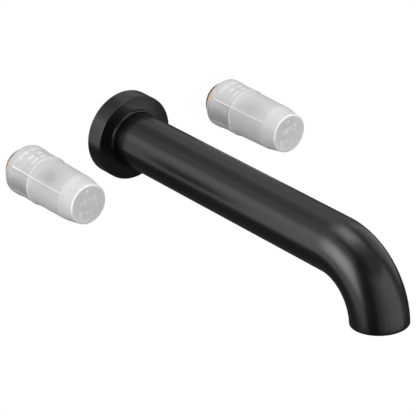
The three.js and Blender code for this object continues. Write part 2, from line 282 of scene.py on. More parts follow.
class Nodes:
    """A principled material being wired up."""

    def __init__(self, name):
        self.material = bpy.data.materials.new(name)
        self.material.use_nodes = True
        self.tree = self.material.node_tree
        self.shader = self.tree.nodes["Principled BSDF"]
        self.place = self.add("ShaderNodeTexCoord").outputs["Object"]

    def add(self, kind, **settings):
        node = self.tree.nodes.new(kind)
        for key, value in settings.items():
            setattr(node, key, value)
        return node

    def link(self, source, target):
        self.tree.links.new(source, target)

    def set(self, **values):
        """Numbers that are the same all over the surface."""
        for key, value in values.items():
            self.shader.inputs[key.replace("_", " ")].default_value = value

    def noise(self, scale, detail, stretch=None):
        """Noise in the mesh's own coordinates. A stretch multiplies its scale along x, y and z."""
        texture = self.add("ShaderNodeTexNoise")
        texture.inputs["Scale"].default_value = scale
        texture.inputs["Detail"].default_value = detail
        if stretch:
            mapping = self.add("ShaderNodeMapping")
            mapping.inputs["Scale"].default_value = stretch
            self.link(self.place, mapping.inputs["Vector"])
            self.link(mapping.outputs["Vector"], texture.inputs["Vector"])
        else:
            self.link(self.place, texture.inputs["Vector"])
        return texture.outputs["Fac"]

    def spread(self, value, low, high, middle=(0.35, 0.65)):
        """Maps a texture's value to a range."""
        mapped = self.add("ShaderNodeMapRange")
        mapped.inputs["From Min"].default_value = middle[0]
        mapped.inputs["From Max"].default_value = middle[1]
        mapped.inputs["To Min"].default_value = low
        mapped.inputs["To Max"].default_value = high
        self.link(value, mapped.inputs["Value"])
        return mapped.outputs["Result"]

    def colours(self, value, first, second, low=0.35, high=0.65):
        """The base colour: first where the value is low, second where it is high."""
        ramp = self.add("ShaderNodeValToRGB")
        for element, colour, position in zip(ramp.color_ramp.elements, (first, second), (low, high)):
            element.color = (*colour, 1)
            element.position = position
        self.link(value, ramp.inputs["Fac"])
        self.link(ramp.outputs["Color"], self.shader.inputs["Base Color"])

    def bump(self, height, distance, strength):
        bump = self.add("ShaderNodeBump")
        bump.inputs["Distance"].default_value = distance
        bump.inputs["Strength"].default_value = strength
        self.link(height, bump.inputs["Height"])
        self.link(bump.outputs["Normal"], self.shader.inputs["Normal"])

    def rough(self, value, low, high):
        self.link(self.spread(value, low, high), self.shader.inputs["Roughness"])


def matte_black():
    """Satin black coating: smooth, with a faint orange peel and slightly uneven sheen."""
    made = Nodes("matte_black")
    made.colours(made.noise(35, 4), (0.0016, 0.0016, 0.0016), (0.0026, 0.0026, 0.0026))
    made.rough(made.noise(90, 4), 0.25, 0.27)
    made.bump(made.noise(1400, 2), 0.00002, 0.1)
    made.set(Metallic=0.0, IOR=1.5)
    return made.material


def brass():
    """Machined brass with fine turning lines and a dull, uneven film."""
    made = Nodes("brass")
    made.colours(made.noise(60, 3), (0.27, 0.13, 0.04), (0.36, 0.19, 0.066), 0.2, 0.8)
    made.rough(made.noise(120, 3), 0.3, 0.4)
    made.bump(made.noise(300, 3, stretch=(0.2, 12, 0.2)), 0.00001, 0.12)
    made.set(Metallic=1.0)
    return made.material


def frosted_plastic():
    """Translucent moulded plastic. The mesh's "cloud_and_painted_light" attribute says how milky it is:
    thick places let less light through than the thin wall does. It also carries painted highlights and
    painted shade."""
    made = Nodes("frosted_plastic")
    cloud_and_painted_light = made.add("ShaderNodeAttribute", attribute_name="cloud_and_painted_light").outputs["Fac"]
    mottle = made.spread(made.noise(150, 4), -0.025, 0.025)
    milk_and_light = made.add("ShaderNodeMath", operation="ADD")
    made.link(cloud_and_painted_light, milk_and_light.inputs[0])
    made.link(mottle, milk_and_light.inputs[1])
    made.colours(milk_and_light.outputs["Value"], (0.5, 0.5, 0.5), (0.96, 0.96, 0.96), 0.0, 1.0)
    clearness = made.spread(milk_and_light.outputs["Value"], 0.5, 0.0, (0.0, 1.0))
    made.link(clearness, made.shader.inputs["Transmission Weight"])
    made.rough(made.noise(260, 4), 0.45, 0.55)
    made.bump(made.noise(900, 3), 0.00002, 0.3)
    made.set(IOR=1.46, Coat_Weight=0.25, Coat_Roughness=0.25)
    return made.material


def rubber(name, grey, grain, depth):
    """Dull moulded rubber or foam. Grain is the noise scale of its surface, and depth that of its pits."""
    made = Nodes(name)
    made.colours(made.noise(500, 4), (grey * 0.8,) * 3, (grey * 1.3,) * 3)
    made.rough(made.noise(420, 4), 0.62, 0.8)
    made.bump(made.noise(grain, 4), depth, 0.5)
    return made.material


def ceramic():
    """Lapped alumina, faintly mottled."""
    made = Nodes("ceramic")
    made.colours(made.noise(180, 5), (0.78, 0.77, 0.73), (0.88, 0.87, 0.84))
    made.rough(made.noise(300, 3), 0.14, 0.24)
    made.bump(made.noise(2000, 2), 0.000005, 0.4)
    return made.material


def steel():
    """Plain stainless steel with fine drawn lines."""
    made = Nodes("steel")
    made.colours(made.noise(260, 4), (0.5, 0.51, 0.52), (0.62, 0.63, 0.64))
    made.rough(made.noise(400, 4, stretch=(1, 12, 1)), 0.22, 0.38)
    made.bump(made.noise(900, 3, stretch=(1, 14, 1)), 0.00001, 0.5)
    made.set(Metallic=1.0)
    return made.material


def aerator_plastic():
    """Grey moulded plastic with a fine grain."""
    made = Nodes("aerator_plastic")
    made.colours(made.noise(240, 4), (0.2, 0.21, 0.22), (0.25, 0.26, 0.27))
    made.rough(made.noise(500, 3), 0.36, 0.5)
    made.bump(made.noise(1800, 3), 0.00001, 0.5)
    return made.material


MATERIALS = {
    "matte_black": matte_black(),
    "brass": brass(),
    "frosted_plastic": frosted_plastic(),
    "rubber": rubber("rubber", 0.02, 1500, 0.00005),
    "foam": rubber("foam", 0.05, 2600, 0.00013),
    "ceramic": ceramic(),
    "steel": steel(),
    "aerator_plastic": aerator_plastic(),
}

# Every CAD node first gets its slot's material. The ones that stay hidden inside keep their shape.
for part in frame["record"]["subparts"]:
    node_mesh = nodes[part["node"]].data
    node_mesh.materials.clear()
    node_mesh.materials.append(MATERIALS[part["material_slot"]])


def replace(piece, body, slot, *cad_nodes):
    """Puts a piece on a body in the place of CAD nodes, with the slot's material."""
    piece.data.materials.clear()
    piece.data.materials.append(MATERIALS[slot])
    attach(piece, body)
    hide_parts(*cad_nodes)


# Spout

NIPPLE_RINGS = ("nipple_o_ring_rear", "nipple_o_ring_front")


def spout_tube():
    """The straight part and the bend as one shell, with rounded ends and the set screw's hole."""
    rim, straight_step, bend_step, run_in = 0.6, 12, 1.2, 13
    outline = [(TUBE_RADIUS, TUBE_REAR), (TUBE_RADIUS, TUBE_LENGTH)]
    outline += [(BORE_RADIUS, TUBE_LENGTH), (BORE_RADIUS, TUBE_REAR)]
    coarse = subdivide(soften(outline, rim, 5), straight_step)
    fine = []
    for i, start in enumerate(coarse):
        fine.append(start)
        end = coarse[(i + 1) % len(coarse)]
        if min(start[1], end[1]) > STRAIGHT - run_in:
            steps = round(abs(end[1] - start[1]) / bend_step)
            fine += [between(start, end, k / steps) for k in range(1, steps)]
    tube = revolved("spout_shell", fine, along_spout, evenly(144))
    hole_radius, reach = 2.8, 4
    top, bottom = set_screw_axis(-TUBE_RADIUS + reach, -TUBE_RADIUS - reach)
    drill(tube, cylinder("hole", hole_radius, top, bottom), 30)
    replace(tube, "wall_set", "matte_black", "spout_tube", "spout_elbow")


def set_screw_axis(top, bottom):
    """Two points on the axis of the set screw under the spout, at those heights."""
    out = middle_out("spout_set_screw")
    return (0, -out, top), (0, -out, bottom)


def escutcheon():
    """The flange: a thin cup with a collar that holds an O-ring in a groove, and a bead round its bore."""
    rear, lip_front = out_range("escutcheon")
    wall, front_wall, bore, edge = 2.4, 2.8, 17.15, 0.55
    collar, collar_rear = 20.5, 3.5
    groove, groove_rear, groove_front = 19.3, 5.4, 7.8
    outline = [
        (FLANGE_RADIUS - wall, rear),
        (FLANGE_RADIUS, rear),
        *corner_arc((FLANGE_RADIUS, rear), (FLANGE_RADIUS, FLANGE_FACE), (0, FLANGE_FACE), edge, 6),
        *lip_bead(bore, lip_front),
        (bore, groove_front),
        (groove, groove_front),
        (groove, groove_rear),
        (bore, groove_rear),
        (bore, collar_rear),
        (collar, collar_rear),
        (collar, FLANGE_FACE - front_wall),
        (FLANGE_RADIUS - wall, FLANGE_FACE - front_wall),
    ]
    flange = revolved("escutcheon_shell", outline, on_axis(0), evenly(160), crease=30)
    replace(flange, "sliding_escutcheon", "matte_black", "escutcheon")


def lip_bead(bore, front):
    """The bead where the escutcheon's face meets its bore: a quarter of an ellipse above a small fillet."""
    width, height, fillet = 1.05, front - FLANGE_FACE, 0.2
    outer = bore + width
    base = corner_arc((outer + 2, FLANGE_FACE), (outer, FLANGE_FACE), (outer, front), fillet, 3)
    steps, first_above_fillet = 12, 2
    crown = []
    for i in range(first_above_fillet, steps + 1):
        turn = math.pi / 2 * i / steps
        crown.append((bore + width * math.cos(turn), FLANGE_FACE + height * math.sin(turn)))
    return [*base, *crown]


def gasket():
    """The foam ring behind the escutcheon."""
    wall_plane, end = 0.0, out_range("escutcheon_gasket")[1]
    inner, outer = 19.4, radius_of("escutcheon_gasket")
    profile = soften([(inner, wall_plane), (outer, wall_plane), (outer, end), (inner, end)], 0.4)
    ring = revolved("escutcheon_foam", profile, on_axis(0))
    replace(ring, "sliding_escutcheon", "foam", "escutcheon_gasket")


def groove_at(node, outer, root, half_width):
    """Profile points of a square groove for an O-ring."""
    rear, front = middle_out(node) - half_width, middle_out(node) + half_width
    return [(outer, rear), (root, rear), (root, front), (outer, front)]


def spout_nipple():
    """The brass adaptor: an outside thread behind the wall, a waist, and two O-ring grooves."""
    rear, front = out_range("spout_nipple")
    outer, bore = radius_of("spout_nipple"), 7
    pitch, depth, thread_front = 1.8, 0.85, -3
    waist, waist_rear, waist_front, slope = outer - 0.7, 2, 8, 0.4
    groove, half_groove = 8.9, 1.5
    outline = [(bore, rear), (outer - depth, rear), (outer, rear + 1), (outer, thread_front)]
    outline += [(outer, waist_rear - slope), (waist, waist_rear)]
    outline += [(waist, waist_front), (outer, waist_front + slope)]
    for node in NIPPLE_RINGS:
        outline += groove_at(node, outer, groove, half_groove)
    outline += [(outer, front), (bore, front)]
    threads = subdivide(soften(outline, 0.25, 2), 0.15)

    def threaded(radius, out, angle):
        if radius < outer - depth - 0.01 or out > thread_front:
            return radius, out
        turn = (out / pitch + angle / (2 * math.pi)) % 1
        crest = min(1, 1.6 * abs(2 * turn - 1))
        return min(radius, outer - depth * (1 - crest)), out

    nipple = revolved("spout_connector", threads, on_axis(0), evenly(144), threaded, 50)
    replace(nipple, "wall_set", "brass", "spout_nipple")


def spout_hub():
    """The brass bush inside the spout's rear end, with a plain hole for the set screw."""
    rear, front = out_range("spout_hub")
    inner, outer = 11.6, radius_of("spout_hub")
    profile = soften([(inner, rear), (outer, rear), (outer, front), (inner, front)], 0.4)
    bush = revolved("spout_bush", subdivide(profile, 6), on_axis(0))
    hole_radius = 2.6
    top, bottom = set_screw_axis(-9, -18)
    drill(bush, cylinder("hole", hole_radius, top, bottom))
    replace(bush, "wall_set", "brass", "spout_hub")


def outlet_ring():
    """The brass insert in the mouth. It follows the bend outside and is bored straight inside."""
    depth, shoulder, bore, throat = 16, 13.6, 11.2, 9
    outer = BORE_RADIUS - 0.3
    start, end = TUBE_LENGTH - depth, TUBE_LENGTH - 0.8
    profile = soften([(0, start), (outer, start), (outer, end), (0, end)], 0.5)
    ring = revolved("outlet_bush", subdivide(profile, 3), along_spout, evenly(96))
    lead_in, past_end = bore + 0.6, -depth - 3
    cutter = [(0, 2), (lead_in, 2), (lead_in, -0.7), (bore, -1.4), (bore, -shoulder)]
    cutter += [(throat, -shoulder), (throat, past_end), (0, past_end)]
    drill(ring, revolved("cutter", cutter, at_mouth, evenly(96)), 30)
    replace(ring, "wall_set", "brass", "outlet_ring")


AERATOR_BORE = 9.6


def aerator_cup():
    """The aerator's housing, with notches round its lip for the key that turns it."""
    outer, lip = 10.8, 8.6
    front, rear, lip_rear = -5.2, -12.2, -6.2
    outline = [(lip, front), (outer, front), (outer, rear)]
    outline += [(AERATOR_BORE, rear), (AERATOR_BORE, lip_rear), (lip, lip_rear)]
    housing = revolved("aerator_cup", soften(outline, 0.25, 3), at_mouth, evenly(96))
    notches, notch_radius, notch_out = 8, 0.9, front + 0.7
    notch_inner, notch_outer = 8.2, 11.6
    teeth = []
    for angle in evenly(notches):
        start, end = at_mouth(notch_inner, notch_out, angle), at_mouth(notch_outer, notch_out, angle)
        teeth.append(cylinder("tooth", notch_radius, start, end, 12))
    drill(housing, join("teeth", teeth), 30)
    replace(housing, "wall_set", "aerator_plastic", "aerator_housing")


def aerator_cells():
    """The plate that splits the stream, pierced by rows of six-sided cells."""
    edge, front, rear = AERATOR_BORE - 0.3, -6.5, -7.9
    profile = soften([(0, front), (edge, front), (edge, rear), (0, rear)], 0.15, 2)
    plate = revolved("aerator_cells", profile, at_mouth, evenly(72))
    pitch, cell, rows, drill_front, drill_rear = 1.95, 0.93, 4, -5, -9
    cells = []
    for row in range(-rows, rows + 1):
        count = 2 * rows + 1 - abs(row)
        for i in range(count):
            x = (i - (count - 1) / 2) * pitch
            z = row * pitch * math.sin(math.pi / 3)
            radius, angle = math.hypot(x, z), math.atan2(x, z)
            start, end = at_mouth(radius, drill_front, angle), at_mouth(radius, drill_rear, angle)
            cells.append(cylinder("cell", cell, start, end, 6, math.pi / 6))
    drill(plate, join("cells", cells), 30)
    replace(plate, "wall_set", "aerator_plastic", "aerator_honeycomb")


# Valves


def valve_barrel(side, place):
    """The brass housing in the wall, with its inlet port and four small holes behind."""
    cavity, floor, port = 10, 3, 4.5
    groove_start, groove_end, groove = 13.6, 16.6, 11.2
    outline = [
        (port, 0), (BARREL_RADIUS - 1.5, 0), (BARREL_RADIUS, 2), (BARREL_RADIUS, groove_start),
        (groove, groove_start), (groove, groove_end), (BARREL_RADIUS, groove_end),
        (BARREL_RADIUS, BARREL_FRONT - 0.5), (BARREL_RADIUS - 0.5, BARREL_FRONT),
        (cavity, BARREL_FRONT), (cavity, floor), (port, floor),
    ]
    barrel = revolved(f"{side}_barrel", subdivide(soften(outline, 0.2, 3), 5), place)
    hole_ring, hole_radius = 7.9, 1.4
    drills = []
    for angle in evenly(4):
        start, end = place(hole_ring, -1, angle), place(hole_ring, floor + 1, angle)
        drills.append(cylinder("port", hole_radius, start, end))
    drill(barrel, join("ports", drills), 30)
    replace(barrel, "wall_set", "brass", f"{side}_valve_barrel")


def cartridge_neck(side, place):
    """The cartridge's body: a chamber for the discs with a water window through it, and the stem's neck."""
    lower, shoulder, neck, bore, chamber = 8.4, 9.5, 7, 4.9, 7.1
    rear, chamber_front, shoulder_rear, shoulder_front, front = 5.1, 11.5, 16, 20, 34
    outline = [
        (chamber, rear), (lower, rear), (lower, shoulder_rear), (shoulder, shoulder_rear),
        (shoulder, shoulder_front), (neck, shoulder_front), (neck, front), (bore, front),
        (bore, chamber_front), (chamber, chamber_front),
    ]
    body = revolved(f"{side}_cartridge", subdivide(soften(outline, 0.3, 3), 4), place)
    window_out, window_radius, reach = 9, 1.45, 20
    centre = place(0, window_out, 0)
    for lift in (-1.5, 0, 1.5):
        start, end = centre + Vector((-reach, 0, lift)), centre + Vector((reach, 0, lift))
        drill(body, cylinder("window", window_radius, start, end), 30)
    replace(body, "wall_set", "brass", f"{side}_cartridge_body")


def bonnet_nut(side, place):
    """A hexagon nut, chamfered at both ends, on a round skirt."""
    apothem, bore, skirt, rear, hexagon, front = 10.5, 7.4, 9.5, 20.3, 24.3, 31.3
    corner = apothem / math.cos(math.pi / 6)
    chamfer = (corner - apothem) * 0.6
    outline = [
        (bore, rear), (skirt, rear), (skirt, hexagon), (apothem - 0.3, hexagon),
        (corner, hexagon + chamfer), (corner, front - chamfer), (apothem - 0.3, front), (bore, front),
    ]

    def six_sided(radius, out, angle):
        sector = (angle + math.pi / 6) % (math.pi / 3) - math.pi / 6
        return min(radius, apothem / math.cos(sector)), out

    nut = revolved(f"{side}_nut", subdivide(soften(outline, 0.25, 3), 2), place, evenly(144), six_sided, 24)
    replace(nut, "wall_set", "brass", f"{side}_bonnet_nut")


def stem(side, place):
    """The stem: a foot on the moving disc, two O-ring grooves, a clip groove, splines and a screw hole."""
    shaft, foot, rear, foot_front, front = 4.4, 6.5, 9.7, 11.2, 60
    clip_root, clip_rear, clip_front = 3.4, 34.35, 35.55
    splined, root, tip, teeth = 46, 3.8, 4.3, 12
    groove, half_groove = 3, 1.1
    hole, hole_depth, hole_tip = 1.5, 12, 12.8
    outline = [(0, rear), (foot, rear), (foot, foot_front), (shaft, foot_front)]
    for node in ("stem_o_ring_rear", "stem_o_ring_front"):
        outline += groove_at(f"{side}_{node}", shaft, groove, half_groove)
    outline += [(shaft, clip_rear), (clip_root, clip_rear), (clip_root, clip_front), (shaft, clip_front)]
    outline += [(shaft, splined - 0.6), (root, splined), (tip, splined + 0.6), (tip, front - 0.5)]
    outline += [(root, front), (hole, front), (hole, front - hole_depth), (0, front - hole_tip)]

    def toothed(radius, out, angle):
        if out < splined or radius < hole + 0.5:
            return radius, out
        wave = 0.5 + 0.5 * math.cos(teeth * angle)
        return min(radius, root + (tip - root) * min(1, 1.6 * wave)), out

    profile = subdivide(soften(outline, 0.12, 2), 3)
    spindle = revolved(f"{side}_spindle", profile, place, evenly(144), toothed)
    replace(spindle, f"{side}_valve_stem", "brass", f"{side}_stem")


def retaining_clip(side, place):
    """A flat open ring in the stem's groove."""
    start, end = out_range(f"{side}_circlip")
    inner, outer, half_gap, steps = 3.6, 6.0, 0.35, 64
    made = bmesh.new()
    sections = []
    corners = ((inner, start), (outer, start), (outer, end), (inner, end))
    for i in range(steps + 1):
        angle = math.pi / 2 + half_gap + (2 * math.pi - 2 * half_gap) * i / steps
        sections.append([made.verts.new(place(radius, out, angle) * MM) for radius, out in corners])
    for i in range(steps):
        bridge(made, sections[i], sections[i + 1])
    made.faces.new(sections[0])
    made.faces.new(sections[-1])
    clip = finish_mesh(f"{side}_clip", made, 30)
    replace(clip, f"{side}_valve_stem", "steel", f"{side}_circlip")


def o_ring(name, place, inner, outer, body, node):
    """A round rubber ring, in the middle of its node."""
    section, out = (outer - inner) / 2, middle_out(node)
    profile = []
    for angle in evenly(20):
        profile.append((inner + section + section * math.cos(angle), out + section * math.sin(angle)))
    ring = revolved(name, profile, place)
    replace(ring, body, "rubber", node)


# The guard over each valve

OUTER_SHAPE = [
    (15.0, 6.0), (15.3, 6.5), (15.4, 7.4), (15.4, 10.8), (15.12, 13), (14.9, 16), (14.72, 19.5),
    (14.82, 20.5), (14.95, 21.5), (14.95, 27.2), (14.6, 29.2), (14.38, 31.5), (14.3, 39), (14.2, 43),
    (14.1, 48), (14.02, 55.2), (13.95, 56), (13.7, 57.6), (13.25, 60.2), (12.75, 63.5), (12.36, 66.0),
]
GUARD_REAR = OUTER_SHAPE[0][1]
NOSE_RADIUS, SIDE_FRONT = OUTER_SHAPE[-1]
RING_OUT = 27.0
NOSE_OUT = 55.6
RIM_GROOVES = (8.2, 10.1)
# Flat-topped ribs along the guard, as (angle in degrees, from out, to out). They frame two side panels.
RIBS = ((-60.5, 11.2, NOSE_OUT), (-116, 11.2, 28.4), (60.5, 11.2, NOSE_OUT), (116, 11.2, 28.4))
PANEL_MIDDLES = (-102.0, 102.0)
RIB_HALF_WIDTH = 0.65
# How far each kind of relief stands proud, or is cut in
RIB_HEIGHT, RING_HEIGHT, MARK_HEIGHT, GATE_HEIGHT, GROOVE_DEPTH = 0.28, 0.2, 0.12, 0.6, 0.1
# Generic raised marks on top, as (out, first angle in degrees, widths in degrees of bars and gaps in turn),
# their half height, the width of their soft edges and the guard's mean radius under them
MARK_ROWS = (
    (13.0, -43, (2, 3, 4, 2, 2, 3, 3, 2, 5, 3, 2, 9, 4, 2, 3, 2, 5)),
    (18.6, -27, (5, 2, 7, 12, 4, 2, 6)),
    (23.4, -35, (2, 2, 3, 2, 2, 3, 6, 9, 5, 2, 7)),
)
MARK_HALF_HEIGHT, MARK_SOFTNESS, MARK_RADIUS = 1.1, 0.4, 14.8
# Generic raised bars on the end, as (middle x, middle z, half length, slope in degrees, half width)
FACE_BARS = (
    (-5.6, 2.9, 0.8, 20, 0.3), (-5.2, 0.9, 0.9, 5, 0.3), (-3.1, 2.2, 1.3, 75, 0.3),
    (-1.9, 2.6, 1.2, 105, 0.3), (-2.4, 0.6, 1.1, 100, 0.3), (-0.3, 2.9, 1.0, 50, 0.3),
    (1.6, 3.9, 0.9, 35, 0.3), (2.4, 2.4, 0.8, 15, 0.3), (3.9, 4.6, 0.9, 0, 0.3),
    (4.9, 2.6, 2.0, 92, 0.28), (5.4, -1.0, 1.4, 112, 0.22), (-6.4, -4.6, 1.6, 96, 0.3),
    (-5.2, -4.8, 1.5, 96, 0.3), (-2.4, -4.4, 1.2, 60, 0.3), (-1.2, -5.1, 1.1, 110, 0.3),
    (0.2, -4.7, 1.1, 80, 0.3),
)
# An arc under the bars, as (middle x, middle z, radius), and the moulding gate's middle
FACE_ARC = (-2.2, -5.6, 4.4)
GATE = (-0.9, 8.3)
# How milky the guard's plain wall is, and what its features add to that. The lit edge's, the ring's and the
# grooves' shares are painted highlights and painted shade lines
PLAIN_MILK = 0.5
NOSE_MILK, EDGE_MILK, EDGE_HIGHLIGHT_MILK, PANEL_MILK = 0.08, 0.12, 0.38, -0.5
MARK_MILK, RING_PAINTED_LIGHT, REAR_MILK, GROOVE_PAINTED_LIGHT = 0.33, 0.4, 0.5, 0.35
FACE_MARK_MILK, GATE_MILK = 0.35, 0.6
# A soft painted shade stands for the bonnet nut inside showing through: how strong it is on each guard, its
# middle as (out, angle in degrees) and how far it spreads as (along the guard in mm, round it in radians)
NUT_SHADE = {"hot": 0.3, "cold": 0.18}
NUT_MIDDLE = (42, -36)
NUT_SPREAD = (7, 0.4)


def radius_at(out):
    """The guard's outer radius without its relief."""
    for (r0, s0), (r1, s1) in zip(OUTER_SHAPE, OUTER_SHAPE[1:]):
        if out <= s1:
            return r0 + (r1 - r0) * (out - s0) / (s1 - s0)
    return OUTER_SHAPE[-1][0]


def ridge(distance, half_width):
    """1 on the middle of a rounded ridge and 0 beyond its half width."""
    t = min(1.0, abs(distance) / half_width)
    return (1 - t * t) ** 2


def plateau(distance, half_width, shoulder):
    """1 on a flat top and 0 beyond it, with soft shoulders."""
    t = min(1.0, max(0.0, (abs(distance) - half_width) / shoulder))
    return 1 - t * t * (3 - 2 * t)


def angle_gap(angle, degrees):
    """How far an angle in radians is past one in degrees, in radians."""
    return (angle - math.radians(degrees) + math.pi) % (2 * math.pi) - math.pi


def mark_at(out, angle):
    """1 on a raised mark and 0 off it."""
    best = 0.0
    for row_out, first, widths in MARK_ROWS:
        if abs(out - row_out) > MARK_HALF_HEIGHT + MARK_SOFTNESS:
            continue
        at = first
        for i, width in enumerate(widths):
            if i % 2 == 0:
                off = angle_gap(angle, at + width / 2) * radius_at(out)
                across = plateau(off, math.radians(width / 2) * MARK_RADIUS - 0.15, 0.35)
                best = max(best, across * plateau(out - row_out, MARK_HALF_HEIGHT - 0.2, MARK_SOFTNESS))
            at += width
    return best


def guard_relief(out, angle):
    """How far the guard stands proud of its plain shape at a point."""
    height = MARK_HEIGHT * mark_at(out, angle)
    for degrees, start, end in RIBS:
        if start - 0.5 < out < end + 0.5:
            along = plateau(out - (start + end) / 2, (end - start) / 2, 0.5)
            across = plateau(angle_gap(angle, degrees) * radius_at(out), RIB_HALF_WIDTH - 0.25, 0.35)
            height = max(height, RIB_HEIGHT * along * across)
    height = max(height, RING_HEIGHT * ridge(out - RING_OUT, 0.8))
    for groove in RIM_GROOVES:
        height -= GROOVE_DEPTH * ridge(out - groove, 0.4)
    return height


def bar_at(x, z, bar):
    """1 on one of the end's raised bars and 0 off it."""
    middle_x, middle_z, half_length, slope, half_width = bar
    dx, dz, longest_reach = x - middle_x, z - middle_z, 2.6
    if max(abs(dx), abs(dz)) > longest_reach:
        return 0.0
    cos, sin = math.cos(math.radians(slope)), math.sin(math.radians(slope))
    along = dx * cos + dz * sin
    across = dz * cos - dx * sin
    return plateau(along, half_length - 0.2, 0.3) * plateau(across, half_width - 0.15, 0.3)


def face_mark(x, z):
    """1 on the end's raised marks and 0 off them."""
    middle_x, middle_z, radius = FACE_ARC
    arc_top = middle_z + 1.5
    arc = ridge(math.hypot(x - middle_x, z - middle_z) - radius, 0.5) if z < arc_top else 0.0
    return max(arc, max(bar_at(x, z, bar) for bar in FACE_BARS))


def face_relief(x, z):
    """How far the flat end stands proud: its marks, and the cone left by the moulding gate."""
    gate = GATE_HEIGHT * ridge(math.hypot(x - GATE[0], z - GATE[1]), 0.8)
    return max(MARK_HEIGHT * face_mark(x, z), gate)


def face_milk(x, z):
    """How milky the flat end is at a point: whiter on its marks and on the gate."""
    gate = ridge(math.hypot(x - GATE[0], z - GATE[1]), 0.9)
    return min(1.0, PLAIN_MILK + FACE_MARK_MILK * face_mark(x, z) + GATE_MILK * gate)


def rib_painted_lines(out, angle):
    """Painted highlight and shade lines on each rib: a white line on it with a clearer, darker one beside
    it, standing in for how the rib bends the light.
    """
    milk_and_light = 0.0
    for degrees, start, end in RIBS:
        if start - 0.3 < out < end + 0.3:
            off = angle_gap(angle, degrees) * radius_at(out)
            if out > RING_OUT:
                milk_and_light += 0.55 * ridge(off, 0.5) - 0.3 * ridge(off - 0.55, 0.35) + 0.2 * ridge(off - 1, 0.35)
            else:
                milk_and_light += 0.55 * ridge(off, 0.55) - 0.3 * ridge(off + 0.85, 0.4)
    return milk_and_light


def cloud_and_painted_light_at(radius, out, angle, nut_shade):
    """How milky the guard is at a point, from 0 for clear to 1. The wall is thin and clear over the
    side panels, and thick and milky in the nose, at its edges and on everything raised. It also holds
    painted light:
    a painted highlight on the front edge's upper left, painted highlight and shade lines along the ribs,
    the ring line and the rim's grooves, and a painted shade over the bonnet nut."""
    face_radius, face_depth = 11.4, 0.7
    if out > CAP_FRONT - face_depth and radius < face_radius:
        return face_milk(radius * math.sin(angle), radius * math.cos(angle))
    milk_and_light = PLAIN_MILK
    # The nose starts softly. Its front edge is milkier all round, and a painted highlight makes it whitest
    # at the upper left
    nose_start = NOSE_OUT - 0.5
    if out > nose_start:
        milk_and_light += NOSE_MILK * min(1.0, out - nose_start)
    painted_highlight_side = plateau(angle_gap(angle, -28), math.radians(52), math.radians(30))
    milk_and_light += (EDGE_MILK + EDGE_HIGHLIGHT_MILK * painted_highlight_side) * ridge(out - CAP_FRONT + 0.2, 0.5)
    is_inside = radius < radius_at(out) - 0.4 and out < CAP_FRONT - 1.5
    if is_inside:
        return milk_and_light
    panel_rear, panel_front, panel_spread = 7.4, 26.6, 0.4
    if panel_rear < out < panel_front:
        for middle in PANEL_MIDDLES:
            milk_and_light += PANEL_MILK * math.exp(-((angle_gap(angle, middle) / panel_spread) ** 2))
    # A soft painted shade where the bonnet nut shows through
    along = (out - NUT_MIDDLE[0]) / NUT_SPREAD[0]
    across = angle_gap(angle, NUT_MIDDLE[1]) / NUT_SPREAD[1]
    milk_and_light -= nut_shade * math.exp(-(along**2) - across**2)
    milk_and_light += MARK_MILK * mark_at(out, angle)
    milk_and_light += rib_painted_lines(out, angle)
    # Painted light: the ring line gets a painted highlight with a clearer painted shade line behind it, and
    # each of the rim's grooves is a clearer painted shade line with a painted highlight just in front
    milk_and_light += RING_PAINTED_LIGHT * (ridge(out - RING_OUT, 0.6) - 0.5 * ridge(out - RING_OUT + 0.9, 0.4))
    milk_and_light += REAR_MILK * ridge(out - GUARD_REAR, 1.1)
    for groove in RIM_GROOVES:
        milk_and_light += GROOVE_PAINTED_LIGHT * (ridge(out - groove - 0.7, 0.55) - ridge(out - groove, 0.55))
    return min(1.0, milk_and_light)


def add_cloud_and_painted_light(cap, side):
    """Stores the guard's cloudiness and its painted highlights and painted shade on its vertices."""
    x = VALVE_X[side]
    values = []
    for vertex in cap.data.vertices:
        across, out, up = vertex.co.x / MM - x, -vertex.co.y / MM, vertex.co.z / MM
        values.append(cloud_and_painted_light_at(math.hypot(across, up), out, math.atan2(across, up), NUT_SHADE[side]))
    cloud_and_painted_light = cap.data.attributes.new("cloud_and_painted_light", "FLOAT", "POINT")
    cloud_and_painted_light.data.foreach_set("value", values)


def guard_angles():
    """Closer together over the ribs and over the marks."""
    angles = set(evenly(120))
    rib_step, mark_step, first_mark = 0.5, 0.7, -46
    for degrees, _, _ in RIBS:
        angles.update(math.radians(degrees + rib_step * i) % (2 * math.pi) for i in range(-12, 13))
    angles.update(math.radians(first_mark + mark_step * i) % (2 * math.pi) for i in range(104))
    return sorted(angles)


def guard_outs():
    """Closer together over the rear relief and round the crease where the nose starts."""
    outs = []
    stretches = ((GUARD_REAR, 29, 0.22), (29, 54.4, 1.4), (54.4, 58, 0.3), (58, SIDE_FRONT, 0.8))
    for start, end, step in stretches:
        count = round((end - start) / step)
        outs += [start + (end - start) * i / count for i in range(count)]
    return outs


